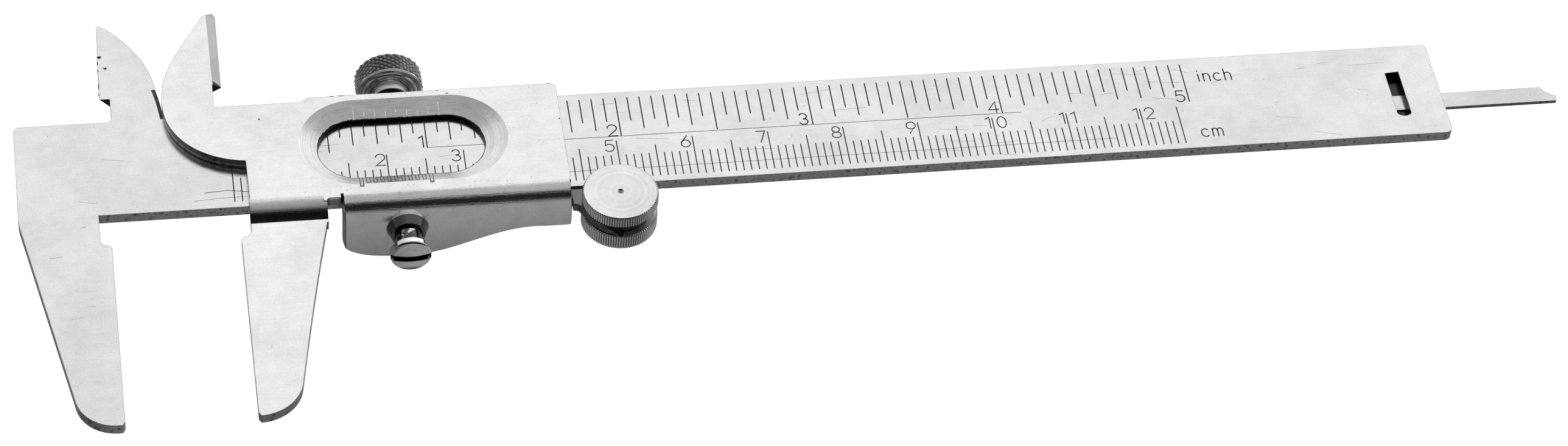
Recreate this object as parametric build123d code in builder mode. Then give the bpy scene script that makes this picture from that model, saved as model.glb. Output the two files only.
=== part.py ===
from build123d import *
import os

os.makedirs("parts", exist_ok=True)

# Vernier caliper, both scales, 125 mm / 5 in, shown 16.3 mm open.
# Frame: X = 0 is the fixed outside jaw's measuring face, +X runs out along the beam.
# Y = 0 is the beam's lower edge, +Y is toward the inside jaws.
# Z = 0 is the beam's front (scale) face, +Z is out of it. Millimetres.

# ---- opening shown ----
reading = 16.3

# ---- beam ----
beam_left = -11.55
beam_right = 177.25
beam_w = 16.33
beam_t = 1.5
jaw_tip_y = -35.15
inside_tip_y = 34.0
neck_x = 1.1
knife_y = 20.5
knife_w = 1.35
knife_slope = (beam_t + 0.03) / (knife_w + 0.05)
jaw_relief = 1.42
jaw_relief_y = -4.2
relief_end_y = -5.7
edge_r = 1.0
end_slot_x = 171.45
end_slot_low = 3.45
end_slot_high = 11.6
end_slot_w = 1.9
end_slot_t = 1.2

# ---- depth rod and its groove in the beam's back ----
rod_y = 6.75
rod_w = 2.6
rod_t = 0.5
groove_w = 2.75
groove_t = 0.6
groove_start = 5.0
rod_start = reading + 9.0
rod_end = beam_right + reading - 0.35
rivet_x = (reading + 11.0, reading + 16.0)
rivet_r = 0.6

# ---- slider sheet ----
sheet_t = 1.4
face_gap = 0.05
front_z = face_gap + sheet_t
fold_y = -0.1
fold_r = 3.0
joggle_r = 3.9
joggle_in_r = joggle_r - sheet_t
joggle_drop = sheet_t
joggle_y = fold_y - (joggle_r**2 - (joggle_r - joggle_drop) ** 2) ** 0.5
joggle_in_y = fold_y - (joggle_in_r**2 - (joggle_in_r - joggle_drop) ** 2) ** 0.5
joggle_end_y = -3.6
flange_y = fold_y - fold_r
sheet_left = reading + 1.5
sheet_right = reading + 42.75
sheet_top = 17.3
step_x = reading + 9.7
low_top = 16.55
jaw_root_left = reading + 1.37
jaw_root_right = reading + 11.25
notch_right = reading + 13.15
notch_y = -0.7
notch_r = 0.45
drawn_back = 0.48
drawn_back_right = 0.3
flange_bottom = -7.75
flange_step_z = -3.85
flange_step_x = reading + 39.3
flange_corner_r = 0.55
knife_left = reading - 1.84
knife_right = reading - 0.62

# ---- window in the slider ----
window_x = reading + 21.67
window_y = 8.28
bevel_x = reading + 21.98
bevel_y = 8.85
window_len = 21.74
window_h = 10.24
bevel_len = 27.16
bevel_h = 15.0
window_land = 0.6

# ---- slider back block ----
back_front_z = -(beam_t + 0.07)
back_t = 2.03
back_low_y = 2.0
rail_y = 16.75
rail_top = 17.8
lug_low_y = flange_y + sheet_t + 0.05

# ---- screws ----
screw_x = reading + 21.2
lock_z = -0.96
lock_r = 4.47
lock_len = 3.05
lock_under_y = 19.6
hub_r = 2.6
hub_y = 18.15
lock_shank_r = 1.0
guide_x = screw_x + 0.2
guide_z = back_front_z - back_t / 2
shoulder_r = 1.75
boss_lip_y = -4.35
boss_r = 2.95
boss_lip_r = 2.2
boss_play = 0.1
head_r = 2.65
head_back_y = -7.15
head_rim = 0.68
head_shoulder = 1.12
head_face_r = 2.05
head_len = 1.4
head_shoulder_r = 0.65
head_dome = head_len - head_shoulder
head_sphere = (head_face_r**2 + head_dome**2) / (2 * head_dome)
head_slot_w = 0.9
head_slot_t = 0.95
guide_stud_r = 0.7
guide_hole_r = guide_stud_r + 0.05
guide_stud_len = 4.8

# ---- gib ----
gib_t = 0.3
gib_play = 0.09

# ---- thumb roller and its hook ----
roller_x = reading + 48.82
roller_y = -3.0
roller_r = 4.93
roller_top = 1.75
roller_mid = 0.08
roller_low = -1.65
roller_bottom = -3.95
neck_r = 2.95
hook_top = -0.27
hook_shank_top = -0.82
hook_out_r = 4.6
hook_in_r = 3.9
hook_tip_x = roller_x - 0.4
pin_r = 0.4
pin_x = (reading + 30.0, reading + 33.5)
pin_y = -0.83

# ================= beam with the fixed jaws =================
with BuildPart() as beam:
    with BuildSketch(Plane.XY.offset(-beam_t)):
        with BuildLine():
            Polyline(
                (beam_left, 0.3),
                (beam_left, beam_w - 0.6),
                (beam_left + 0.6, beam_w),
                (neck_x - 0.75, beam_w),
            )
            ThreePointArc((neck_x - 0.75, beam_w), (neck_x - 0.2, beam_w + 0.22), (neck_x, beam_w + 0.82))
            Polyline(
                (neck_x, beam_w + 0.82),
                (neck_x, knife_y),
                (-0.15, knife_y),
                (-0.33, knife_y + 0.7),
                (-0.34, knife_y + 1.9),
                (0, inside_tip_y - 1.6),
                (0.02, inside_tip_y - 0.3),
                (0.2, inside_tip_y),
                (0.5, inside_tip_y),
            )
            Spline((0.5, inside_tip_y), (4.11, 29.85), (6.3, 25.4), (7.27, 20.5), (7.75, beam_w))
            Polyline(
                (7.75, beam_w),
                (beam_right - 0.4, beam_w),
                (beam_right, beam_w - 0.4),
                (beam_right, edge_r),
            )
            RadiusArc((beam_right, edge_r), (beam_right - edge_r, 0), edge_r)
            Polyline((beam_right - edge_r, 0), (-jaw_relief, 0), (-jaw_relief, jaw_relief_y))
            ThreePointArc(
                (-jaw_relief, jaw_relief_y),
                (-1.1, jaw_relief_y - 0.75),
                (-0.4, relief_end_y + 0.4),
            )
            Polyline((-0.4, relief_end_y + 0.4), (0, relief_end_y), (0, -34.6), (-0.3, jaw_tip_y))
            ThreePointArc((-0.3, jaw_tip_y), (-3.6, -34.35), (-5.83, -31.05))
            Line((-5.83, -31.05), (-11.33, -1.67))
            ThreePointArc((-11.33, -1.67), (-11.5, -0.6), (beam_left, 0.3))
        make_face()
    extrude(amount=beam_t)
    # knife edge of the inside jaw, ground away at the back
    with BuildSketch(Plane.XZ.offset(-knife_y)):
        Polygon(
            (-0.6, -beam_t + knife_slope * (knife_w + 0.4)),
            (-0.6, -beam_t),
            (knife_w - 0.2, -beam_t),
            align=None,
        )
    extrude(amount=knife_y - inside_tip_y - 0.5, mode=Mode.SUBTRACT)
    # groove for the depth rod, open at the end
    with BuildSketch(Plane.XY.offset(-beam_t)):
        with Locations(((groove_start + beam_right) / 2, rod_y)):
            Rectangle(beam_right - groove_start, groove_w)
    extrude(amount=groove_t, mode=Mode.SUBTRACT)
    # slot near the end, deep enough to open into the groove
    slot_left = end_slot_x - end_slot_w / 2
    slot_right = end_slot_x + end_slot_w / 2
    with BuildSketch(Plane.XY.offset(-end_slot_t)):
        with BuildLine():
            ThreePointArc(
                (slot_left, end_slot_low + 0.45),
                (end_slot_x, end_slot_low),
                (slot_right, end_slot_low + 0.45),
            )
            Line((slot_right, end_slot_low + 0.45), (slot_right, end_slot_high))
            Line((slot_right, end_slot_high), (slot_left, end_slot_high - 0.15))
            Line((slot_left, end_slot_high - 0.15), (slot_left, end_slot_low + 0.45))
        make_face()
    extrude(amount=end_slot_t, mode=Mode.SUBTRACT)
beam.part.label = "beam"
export_step(beam.part, "parts/beam.step")

# ================= slider sheet: plate, jaws, folds, flange =================
with BuildPart() as slider_plate:
    with BuildSketch(Plane.XY.offset(face_gap)):
        with BuildLine():
            Line((sheet_left, fold_y), (sheet_left - 0.05, 6.7))
            Spline(
                (sheet_left - 0.05, 6.7),
                (reading - 1.32, 7.32),
                (reading - 5.33, 9.72),
                (reading - 8.04, 13.98),
                (reading - 8.62, 17.8),
                (reading - 8.32, 21.06),
                (reading - 7.25, 24.45),
                (reading - 5.75, 27.48),
                (reading - 4.19, 30.24),
                (reading - 2.64, 32.93),
            )
            ThreePointArc((reading - 2.64, 32.93), (reading - 2.28, 33.38), (reading - 1.75, 33.64))
            Polyline(
                (reading - 1.75, 33.64),
                (reading - 0.9, 34.75),
                (knife_right, 34.3),
                (knife_right - 0.1, knife_y + 0.8),
                (reading - 1.9, knife_y + 0.1),
                (reading - 1.95, low_top + 0.15),
                (reading - 1.8, low_top),
                (step_x - 0.55, low_top),
                (step_x + 0.55, sheet_top),
                (sheet_right - 0.5, sheet_top),
                (sheet_right, sheet_top - 0.5),
                (sheet_right, fold_y),
                (sheet_left, fold_y),
            )
        make_face()
        # root of the notch between the jaw and the flange
        with BuildLine():
            Polyline(
                (jaw_root_right, notch_y - notch_r),
                (jaw_root_right - 0.4, notch_y - notch_r),
                (jaw_root_right - 0.4, fold_y),
                (notch_right + 0.4, fold_y),
                (notch_right + 0.4, notch_y),
                (notch_right, notch_y - notch_r),
            )
            RadiusArc((notch_right, notch_y - notch_r), (notch_right - notch_r, notch_y), -notch_r)
            Line((notch_right - notch_r, notch_y), (jaw_root_right + notch_r, notch_y))
            RadiusArc((jaw_root_right + notch_r, notch_y), (jaw_root_right, notch_y - notch_r), -notch_r)
        make_face()
    extrude(amount=sheet_t)
    # front bevel that leaves a knife edge at the back of the inside jaw
    with BuildSketch(Plane.XZ.offset(-19.0)):
        Polygon(
            (knife_right, face_gap),
            (reading + 0.2, face_gap),
            (reading + 0.2, front_z + 0.1),
            (knife_left - 0.1 * (knife_right - knife_left) / sheet_t, front_z + 0.1),
            align=None,
        )
    extrude(amount=-16.0, mode=Mode.SUBTRACT)
    # fold down into the thumb flange
    with BuildSketch(Plane.YZ.offset(notch_right)):
        with BuildLine():
            RadiusArc((fold_y, front_z), (flange_y, front_z - fold_r), -fold_r)
            Line((flange_y, front_z - fold_r), (flange_y + sheet_t, front_z - fold_r))
            RadiusArc((flange_y + sheet_t, front_z - fold_r), (fold_y, face_gap), fold_r - sheet_t)
            Line((fold_y, face_gap), (fold_y, front_z))
        make_face()
    extrude(amount=sheet_right - notch_right)
    # thumb flange, its lower edge in an S
    with BuildSketch(Plane.XZ.offset(-flange_y)):
        with BuildLine():
            Polyline(
                (sheet_right, front_z - fold_r),
                (notch_right, front_z - fold_r),
                (notch_right, -5.0),
            )
            Spline(
                (notch_right, -5.0),
                (reading + 13.55, -5.85),
                (reading + 14.28, -6.45),
                (reading + 15.56, -7.06),
                (reading + 19.0, flange_bottom + 0.06),
                (reading + 21.5, flange_bottom),
                (reading + 24.5, -7.5),
                (reading + 29.55, -5.9),
                (reading + 34.0, -4.35),
                (flange_step_x, flange_step_z),
            )
            Line((flange_step_x, flange_step_z), (sheet_right - flange_corner_r, flange_step_z))
            RadiusArc(
                (sheet_right - flange_corner_r, flange_step_z),
                (sheet_right, flange_step_z + flange_corner_r),
                -flange_corner_r,
            )
            Line((sheet_right, flange_step_z + flange_corner_r), (sheet_right, front_z - fold_r))
        make_face()
    extrude(amount=-sheet_t)
    # pulled boss around the guide screw
    with BuildSketch(Plane.XZ.offset(-flange_y - 0.6)):
        with Locations((guide_x, guide_z)):
            Circle(boss_r)
    with BuildSketch(Plane.XZ.offset(-boss_lip_y)):
        with Locations((guide_x, guide_z)):
            Circle(boss_lip_r)
    loft()
    with BuildSketch(Plane.XZ.offset(5.0)):
        with Locations((guide_x, guide_z)):
            Circle(shoulder_r + boss_play)
    extrude(amount=-4.0, mode=Mode.SUBTRACT)
    # joggle that brings the movable jaw level with the beam
    with BuildSketch(Plane.YZ.offset(jaw_root_left)):
        with BuildLine():
            RadiusArc((fold_y, front_z), (joggle_y, face_gap), -joggle_r)
            Polyline(
                (joggle_y, face_gap),
                (joggle_end_y, face_gap),
                (joggle_end_y, face_gap - sheet_t),
                (joggle_in_y, face_gap - sheet_t),
            )
            RadiusArc((joggle_in_y, face_gap - sheet_t), (fold_y, face_gap), joggle_in_r)
            Line((fold_y, face_gap), (fold_y, front_z))
        make_face()
    extrude(amount=jaw_root_right - jaw_root_left)
    # movable outside jaw
    with BuildSketch(Plane.XY.offset(face_gap - sheet_t)):
        with BuildLine():
            Polyline((jaw_root_left, flange_y), (jaw_root_left, jaw_relief_y))
            ThreePointArc(
                (jaw_root_left, jaw_relief_y),
                (reading + 1.05, jaw_relief_y - 0.75),
                (reading + 0.4, relief_end_y + 0.4),
            )
            Polyline(
                (reading + 0.4, relief_end_y + 0.4),
                (reading, relief_end_y),
                (reading, -34.6),
                (reading + 0.3, jaw_tip_y),
            )
            ThreePointArc((reading + 0.3, jaw_tip_y), (reading + 3.6, -34.0), (reading + 5.8, -30.5))
            ThreePointArc((reading + 5.8, -30.5), (reading + 8.45, -16.2), (reading + 11.05, joggle_end_y))
            Polyline((reading + 11.05, joggle_end_y), (jaw_root_right, flange_y), (jaw_root_left, flange_y))
        make_face()
    extrude(amount=sheet_t)
    # window, bevelled for the vernier marks
    with BuildSketch(Plane.XY.offset(face_gap)):
        with Locations((window_x, window_y)):
            SlotOverall(window_len, window_h)
    extrude(amount=sheet_t, mode=Mode.SUBTRACT)
    with BuildSketch(Plane.XY.offset(face_gap + window_land)):
        with Locations((window_x, window_y)):
            SlotOverall(window_len, window_h)
    with BuildSketch(Plane.XY.offset(front_z)):
        with Locations((bevel_x, bevel_y)):
            SlotOverall(bevel_len, bevel_h)
    loft(mode=Mode.SUBTRACT)
    # the outer corners at both ends of the fold and flange, drawn back by the bending
    fold_axis = Axis((0, fold_y, front_z - fold_r), (-1, 0, 0))
    for end_x, inward in ((notch_right, drawn_back), (sheet_right, -drawn_back_right)):
        outside = end_x - inward * 0.2
        with BuildSketch(Plane.XY.offset(front_z - fold_r)) as drawn_corner:
            with BuildLine():
                Polyline(
                    (outside, flange_y - 0.5),
                    (end_x + inward, flange_y - 0.5),
                    (outside, flange_y + 0.9),
                    (outside, flange_y - 0.5),
                )
            make_face()
        extrude(drawn_corner.sketch, amount=-7.0, mode=Mode.SUBTRACT)
        revolve(drawn_corner.sketch, axis=fold_axis, revolution_arc=90, mode=Mode.SUBTRACT)
slider_plate.part.label = "slider_plate"
export_step(slider_plate.part, "parts/slider_plate.step")

# ================= slider back block =================
with BuildPart() as slider_back:
    with BuildSketch(Plane.XY.offset(back_front_z - back_t)):
        with BuildLine():
            Polyline(
                (sheet_left, back_low_y),
                (screw_x - 4.5, back_low_y),
                (screw_x - 4.5, lug_low_y),
                (pin_x[1] + 2.0, lug_low_y),
                (pin_x[1] + 2.0, back_low_y),
                (sheet_right - 0.05, back_low_y),
                (sheet_right - 0.05, rail_top - 0.6),
                (sheet_right - 0.65, rail_top),
                (step_x + 0.9, rail_top),
                (step_x + 0.3, low_top - 0.4),
                (sheet_left, low_top - 0.4),
                (sheet_left, back_low_y),
            )
        make_face()
    extrude(amount=back_t)
    # rail over the beam's top edge, up to the slider sheet
    with BuildSketch(Plane.XY.offset(back_front_z)):
        with Locations(((step_x + 0.9 + sheet_right - 0.65) / 2, (rail_y + rail_top) / 2)):
            Rectangle(sheet_right - step_x - 1.55, rail_top - rail_y)
    extrude(amount=face_gap - back_front_z)
    # pad that reaches into the groove and carries the depth rod
    with BuildSketch(Plane.XY.offset(back_front_z)):
        with Locations(((rod_start + rivet_x[1] + 2.0) / 2, rod_y)):
            Rectangle(rivet_x[1] + 2.0 - rod_start, rod_w - 0.1)
    extrude(amount=0.12)
    # tapped hole for the lock screw
    with BuildSketch(Plane.XZ.offset(-rail_y)):
        with Locations((screw_x, lock_z)):
            Circle(lock_shank_r)
    extrude(amount=-2.0, mode=Mode.SUBTRACT)
    # tapped hole for the guide screw's stud
    with BuildSketch(Plane.XZ.offset(-lug_low_y)):
        with Locations((guide_x, guide_z)):
            Circle(guide_hole_r)
    extrude(amount=-5.0, mode=Mode.SUBTRACT)
    # rivet holes: depth rod, then hook
    with BuildSketch(Plane.XY.offset(back_front_z - back_t)):
        with Locations(*[(x, rod_y) for x in rivet_x]):
            Circle(rivet_r)
        with Locations(*[(x, pin_y) for x in pin_x]):
            Circle(pin_r)
    extrude(amount=3.0, mode=Mode.SUBTRACT)
slider_back.part.label = "slider_back"
export_step(slider_back.part, "parts/slider_back.step")

# ================= gib under the lock screw =================
gib_len = sheet_right - step_x - 3.0
with BuildPart() as gib:
    with BuildSketch(Plane.XY.offset(-beam_t)):
        with Locations(((step_x + sheet_right) / 2, beam_w + gib_play + gib_t / 2)):
            Rectangle(gib_len, gib_t)
    extrude(amount=beam_t)
    fillet(gib.edges().filter_by(Axis.Z), radius=0.12)
gib.part.label = "gib"
export_step(gib.part, "parts/gib.step")

# ================= lock screw =================
with BuildPart() as lock_screw:
    with BuildSketch(Plane.XY):
        with BuildLine():
            Polyline(
                (0, rail_y),
                (lock_shank_r, rail_y),
                (lock_shank_r, hub_y),
                (hub_r - 0.25, hub_y),
                (hub_r, hub_y + 0.25),
                (hub_r, hub_y + 0.95),
                (hub_r + 0.4, hub_y + 1.15),
                (hub_r + 0.4, lock_under_y),
                (lock_r - 0.15, lock_under_y),
                (lock_r, lock_under_y + 0.12),
                (lock_r, lock_under_y + lock_len - 0.15),
                (lock_r - 0.15, lock_under_y + lock_len),
                (1.2, lock_under_y + lock_len),
                (0, lock_under_y + lock_len - 0.25),
                (0, rail_y),
            )
        make_face()
    revolve(axis=Axis.Y)
lock_screw.part.locate(Location((screw_x, 0, lock_z)))
lock_screw.part.label = "lock_screw"
export_step(lock_screw.part, "parts/lock_screw.step")

# ================= guide screw through the flange =================
with BuildPart() as guide_screw:
    with BuildSketch(Plane.XY):
        with BuildLine():
            Polyline(
                (0, lug_low_y + guide_stud_len),
                (guide_stud_r, lug_low_y + guide_stud_len),
                (guide_stud_r, lug_low_y - 0.02),
                (shoulder_r, lug_low_y - 0.02),
                (shoulder_r, head_back_y),
                (head_r, head_back_y),
                (head_r, head_back_y - head_rim),
            )
            RadiusArc(
                (head_r, head_back_y - head_rim),
                (head_face_r, head_back_y - head_shoulder),
                head_shoulder_r,
            )
            RadiusArc(
                (head_face_r, head_back_y - head_shoulder),
                (0, head_back_y - head_len),
                head_sphere,
            )
            Line((0, head_back_y - head_len), (0, lug_low_y + guide_stud_len))
        make_face()
    revolve(axis=Axis.Y)
    with BuildSketch(Plane.XZ.offset(-head_back_y + head_len)):
        Rectangle(2 * head_r + 1, head_slot_w)
    extrude(amount=-head_slot_t, mode=Mode.SUBTRACT)
guide_screw.part.locate(Location((guide_x, 0, guide_z)))
guide_screw.part.label = "guide_screw"
export_step(guide_screw.part, "parts/guide_screw.step")

# ================= hook that carries the roller =================
with BuildPart() as roller_hook:
    with BuildSketch(Plane.XY.offset(back_front_z)):
        with Locations((roller_x, roller_y)):
            Circle(hook_out_r)
        with BuildLine():
            Polyline(
                (roller_x - 1.5, roller_y - 4.3),
                (hook_tip_x, roller_y - 5.05),
                (roller_x, roller_y - 3.5),
                (roller_x - 1.5, roller_y - 4.3),
            )
        make_face()
        with Locations((roller_x + 4.0, roller_y)):
            Rectangle(8.0, 16.0, mode=Mode.SUBTRACT)
        with Locations((roller_x, roller_y)):
            Circle(hook_in_r)
        with BuildLine():
            Polyline(
                (sheet_right + 0.08, -0.3),
                (sheet_right + 0.08, -2.85),
                (sheet_right + 0.7, -2.95),
                (roller_x - 4.3, roller_y - 1.6),
                (roller_x, roller_y),
                (roller_x - 2.5, -0.3),
                (sheet_right + 0.08, -0.3),
            )
        make_face()
        with BuildLine():
            Polyline(
                (roller_x, roller_y),
                (roller_x + 6.0, roller_y - 3.6),
                (roller_x + 6.0, 6.0),
                (roller_x - 6.0, 6.0),
                (roller_x - 6.0, -0.3),
                (roller_x - 2.5, -0.3),
                (roller_x, roller_y),
            )
        make_face(mode=Mode.SUBTRACT)
        with Locations((roller_x, roller_y)):
            Circle(neck_r + 0.08, mode=Mode.SUBTRACT)
    extrude(amount=hook_top - back_front_z)
    # front of the hook ground down to a point
    with BuildSketch(Plane.XZ.offset(-roller_y + hook_in_r)):
        Polygon(
            (roller_x - 2.9, hook_top + 0.01),
            (roller_x + 0.2, hook_top + 0.01),
            (roller_x + 0.2, back_front_z + 0.08),
            (hook_tip_x, back_front_z + 0.08),
            align=None,
        )
    extrude(amount=3.0, mode=Mode.SUBTRACT)
    # thinner shank inside the fold
    with BuildSketch(Plane.XY.offset(back_front_z)):
        with Locations(((pin_x[0] - 2.0 + sheet_right + 0.1) / 2, pin_y)):
            Rectangle(sheet_right + 0.1 - pin_x[0] + 2.0, 1.1)
        with Locations(*[(x, pin_y) for x in pin_x]):
            Circle(pin_r, mode=Mode.SUBTRACT)
    extrude(amount=hook_shank_top - back_front_z)
roller_hook.part.label = "roller_hook"
export_step(roller_hook.part, "parts/roller_hook.step")

# ================= thumb roller =================
with BuildPart() as roller:
    with BuildSketch(Plane.XZ):
        with BuildLine():
            Polyline(
                (0, roller_bottom + 0.2),
                (0.5, roller_bottom),
                (roller_r - 0.15, roller_bottom),
                (roller_r, roller_bottom + 0.15),
                (roller_r, roller_low - 0.1),
                (roller_r - 0.1, roller_low),
                (neck_r, roller_low),
                (neck_r, roller_mid),
                (roller_r - 0.1, roller_mid),
                (roller_r, roller_mid + 0.1),
                (roller_r, roller_top - 0.15),
                (roller_r - 0.15, roller_top),
                (0.4, roller_top),
                (0, roller_top - 0.3),
                (0, roller_bottom + 0.2),
            )
        make_face()
    revolve(axis=Axis.Z)
roller.part.locate(Location((roller_x, roller_y, 0)))
roller.part.label = "roller"
export_step(roller.part, "parts/roller.step")

# ================= depth rod =================
with BuildPart() as depth_rod:
    with BuildSketch(Plane.XY.offset(-beam_t + 0.05)):
        with BuildLine():
            Polyline(
                (rod_start, rod_y - rod_w / 2),
                (rod_end - 0.15, rod_y - rod_w / 2),
                (rod_end, rod_y - rod_w / 2 + 0.9),
            )
            ThreePointArc(
                (rod_end, rod_y - rod_w / 2 + 0.9),
                (rod_end - 1.15, rod_y + 0.3),
                (rod_end - 1.8, rod_y + rod_w / 2),
            )
            Polyline(
                (rod_end - 1.8, rod_y + rod_w / 2),
                (rod_start, rod_y + rod_w / 2),
                (rod_start, rod_y - rod_w / 2),
            )
        make_face()
        with Locations(*[(x, rod_y) for x in rivet_x]):
            Circle(rivet_r, mode=Mode.SUBTRACT)
    extrude(amount=rod_t)
depth_rod.part.label = "depth_rod"
export_step(depth_rod.part, "parts/depth_rod.step")

# ================= rivets through the depth rod =================
rivet_low = back_front_z - back_t - 0.35
for i, x in enumerate(rivet_x):
    with BuildPart() as rod_rivet:
        with Locations((x, rod_y, rivet_low)):
            Cylinder(1.1, 0.35, align=(Align.CENTER, Align.CENTER, Align.MIN))
        with Locations((x, rod_y, rivet_low)):
            Cylinder(rivet_r, -0.97 - rivet_low, align=(Align.CENTER, Align.CENTER, Align.MIN))
        fillet(rod_rivet.edges().group_by(Axis.Z)[0], radius=0.25)
    rod_rivet.part.label = f"rod_rivet_{i + 1}"
    export_step(rod_rivet.part, f"parts/rod_rivet_{i + 1}.step")

# ================= rivets through the hook's shank =================
for i, x in enumerate(pin_x):
    with BuildPart() as hook_pin:
        with Locations((x, pin_y, rivet_low + 0.1)):
            Cylinder(0.8, 0.25, align=(Align.CENTER, Align.CENTER, Align.MIN))
        with Locations((x, pin_y, rivet_low + 0.1)):
            Cylinder(pin_r, hook_shank_top - rivet_low - 0.1, align=(Align.CENTER, Align.CENTER, Align.MIN))
        fillet(hook_pin.edges().group_by(Axis.Z)[0], radius=0.15)
    hook_pin.part.label = f"hook_pin_{i + 1}"
    export_step(hook_pin.part, f"parts/hook_pin_{i + 1}.step")
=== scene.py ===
import math
import random

import bmesh
import bpy
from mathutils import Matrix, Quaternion, Vector


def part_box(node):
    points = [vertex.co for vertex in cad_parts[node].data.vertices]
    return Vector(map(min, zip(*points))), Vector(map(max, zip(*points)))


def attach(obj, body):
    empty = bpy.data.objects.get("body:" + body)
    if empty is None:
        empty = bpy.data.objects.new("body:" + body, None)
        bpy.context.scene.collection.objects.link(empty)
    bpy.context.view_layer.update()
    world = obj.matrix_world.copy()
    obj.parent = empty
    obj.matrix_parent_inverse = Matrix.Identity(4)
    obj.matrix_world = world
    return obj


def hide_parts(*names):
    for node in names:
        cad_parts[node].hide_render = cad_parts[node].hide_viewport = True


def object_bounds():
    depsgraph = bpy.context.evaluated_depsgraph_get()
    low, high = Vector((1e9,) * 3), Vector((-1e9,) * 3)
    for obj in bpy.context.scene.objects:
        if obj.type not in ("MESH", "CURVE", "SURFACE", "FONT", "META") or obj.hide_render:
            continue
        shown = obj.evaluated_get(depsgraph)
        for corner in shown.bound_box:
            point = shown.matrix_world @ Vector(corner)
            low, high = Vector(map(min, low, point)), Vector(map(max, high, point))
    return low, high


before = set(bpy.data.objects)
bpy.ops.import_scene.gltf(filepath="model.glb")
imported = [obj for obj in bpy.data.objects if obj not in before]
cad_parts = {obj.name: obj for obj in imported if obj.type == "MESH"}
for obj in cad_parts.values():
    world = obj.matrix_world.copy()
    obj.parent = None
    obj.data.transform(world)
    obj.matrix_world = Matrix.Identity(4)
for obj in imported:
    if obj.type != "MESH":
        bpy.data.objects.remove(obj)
cad_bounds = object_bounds()

mm = 0.001
inch = 25.4

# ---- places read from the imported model, in millimetres ----


def box_mm(node):
    """Lowest and highest corner of a CAD node, in millimetres."""
    low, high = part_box(node)
    return Vector(low) / mm, Vector(high) / mm


def middle(node):
    """Centre of a CAD node's box, in millimetres."""
    low, high = box_mm(node)
    return (low + high) / 2


beam_low, beam_high = box_mm("beam")
slider_high = box_mm("slider_plate")[1]
roller_low, roller_high = box_mm("roller")
lock_low, lock_high = box_mm("lock_screw")
lock_axis = middle("lock_screw")
guide_axis = middle("guide_screw")
roller_axis = middle("roller")

# ---- the guide screw's head: its face, and where it ends and the shank begins ----
guide_head = 1.42
guide_face = box_mm("guide_screw")[0].y
guide_back = guide_face + guide_head

# ---- the index of each axis that a turned part may lie along ----
along_y = 1
along_z = 2

# ---- the opening, and where both scales start ----
reading = 16.3
scale_zero = 15.95
vernier_zero = scale_zero + reading

# ---- the inside jaws and the notch beside the flange, as the beam and slider have them ----
knife_y = 20.5
neck_x = 1.1
notch_right = reading + 13.15

# ---- the window and its bevel, as the slider has them ----
window_centre = Vector((reading + 21.67, 8.28))
window_size = Vector((21.74, 10.24))
bevel_centre = Vector((reading + 21.98, 8.85))
bevel_size = Vector((27.16, 15.0))
window_land_top = 0.65
sheet_front = slider_high.z

# ---- engraving ----
sharp_angle = math.radians(24)
line_w = 0.15
inch_line_w = line_w * 1.1
inch_figure_w = line_w * 1.15
vernier_line_w = 0.11
line_proud = 0.012
line_depth = 0.03
ink_gray = 0.075

# ---- ground steel: brushed along the length, faces smoother than sheared edges ----
brushing = (0.2, 6.0, 6.0)
no_brushing = (1.0, 1.0, 1.0)
face_rough = 0.2
cut_rough = 0.42


# =====================================================================
# Node helpers
# =====================================================================
class Graph:
    """Short names for the shader nodes that the materials here are made of."""

    def __init__(self, tree):
        self.tree = tree
        tree.nodes.clear()

    def node(self, kind, **settings):
        made = self.tree.nodes.new(kind)
        for name, value in settings.items():
            setattr(made, name, value)
        return made

    def put(self, socket, value):
        if isinstance(value, bpy.types.NodeSocket):
            self.tree.links.new(value, socket)
        else:
            socket.default_value = value

    def math(self, operation, a, b=0.0):
        made = self.node("ShaderNodeMath", operation=operation)
        self.put(made.inputs[0], a)
        self.put(made.inputs[1], b)
        return made.outputs[0]

    def span(self, value, low, high, out_low=0.0, out_high=1.0, smooth=False):
        kind = "SMOOTHSTEP" if smooth else "LINEAR"
        made = self.node("ShaderNodeMapRange", interpolation_type=kind)
        for socket, number in zip(made.inputs[:5], (value, low, high, out_low, out_high)):
            self.put(socket, number)
        return made.outputs[0]

    def scaled(self, place, factors):
        made = self.node("ShaderNodeVectorMath", operation="MULTIPLY")
        self.put(made.inputs[0], place)
        made.inputs[1].default_value = factors
        return made.outputs[0]

    def noise(self, place, scale, detail=3.0, roughness=0.55):
        made = self.node("ShaderNodeTexNoise")
        self.put(made.inputs["Vector"], place)
        made.inputs["Scale"].default_value = scale
        made.inputs["Detail"].default_value = detail
        made.inputs["Roughness"].default_value = roughness
        return made.outputs[0]

    def swing(self, place, scale, detail, roughness):
        """Noise that swings about 0."""
        return self.math("SUBTRACT", self.noise(place, scale, detail, roughness), 0.5)

    def apart(self, vector):
        made = self.node("ShaderNodeSeparateXYZ")
        self.put(made.inputs[0], vector)
        return made.outputs

    def inside(self, spot, low, high):
        """1 inside the box from low to high, 0 outside it."""
        made = 1.0
        for value, start, end in zip(spot, low, high):
            test = self.node("ShaderNodeMath", operation="COMPARE")
            self.put(test.inputs[0], value)
            self.put(test.inputs[1], (start + end) / 2)
            self.put(test.inputs[2], (end - start) / 2)
            made = self.math("MULTIPLY", made, test.outputs[0])
        return made

    def mix(self, factor, a, b):
        made = self.node("ShaderNodeMix", data_type="FLOAT")
        self.put(made.inputs[0], factor)
        self.put(made.inputs[2], a)
        self.put(made.inputs[3], b)
        return made.outputs[0]

    def gray(self, value):
        made = self.node("ShaderNodeCombineColor")
        for socket in made.inputs[:3]:
            self.put(socket, value)
        return made.outputs[0]


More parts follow.
